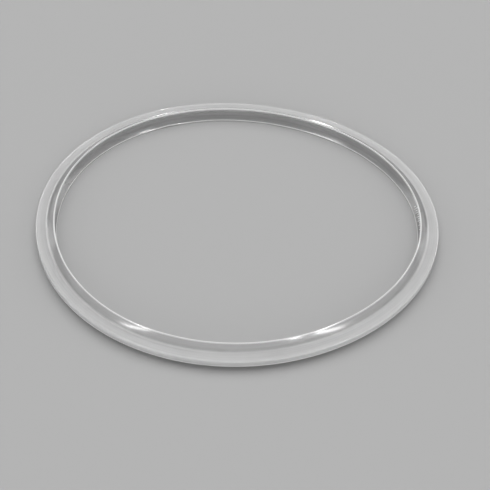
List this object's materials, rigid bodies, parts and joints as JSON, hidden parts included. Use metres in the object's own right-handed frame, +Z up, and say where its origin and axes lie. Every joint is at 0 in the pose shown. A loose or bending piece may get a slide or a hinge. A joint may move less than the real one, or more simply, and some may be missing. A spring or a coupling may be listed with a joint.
{
  "type": "pressure cooker sealing ring",
  "caption": "Flat translucent silicone sealing ring for a pressure cooker lid, with a solid outer flange and thin lips that open inwards.",
  "frame": {"origin": "centre of the ring, on the plane that the lower lip rests on", "axes": "+Z up along the ring's axis of revolution; X and Y lie in the plane of the ring and are interchangeable"},
  "size_m": [0.24, 0.24, 0.01],
  "materials": {
    "silicone": "smooth translucent moulded silicone, milky where it is thick and clearer in the thin lips"
  },
  "bodies": {
    "root": {"sealing_ring": "silicone"}
  },
  "joints": []
}
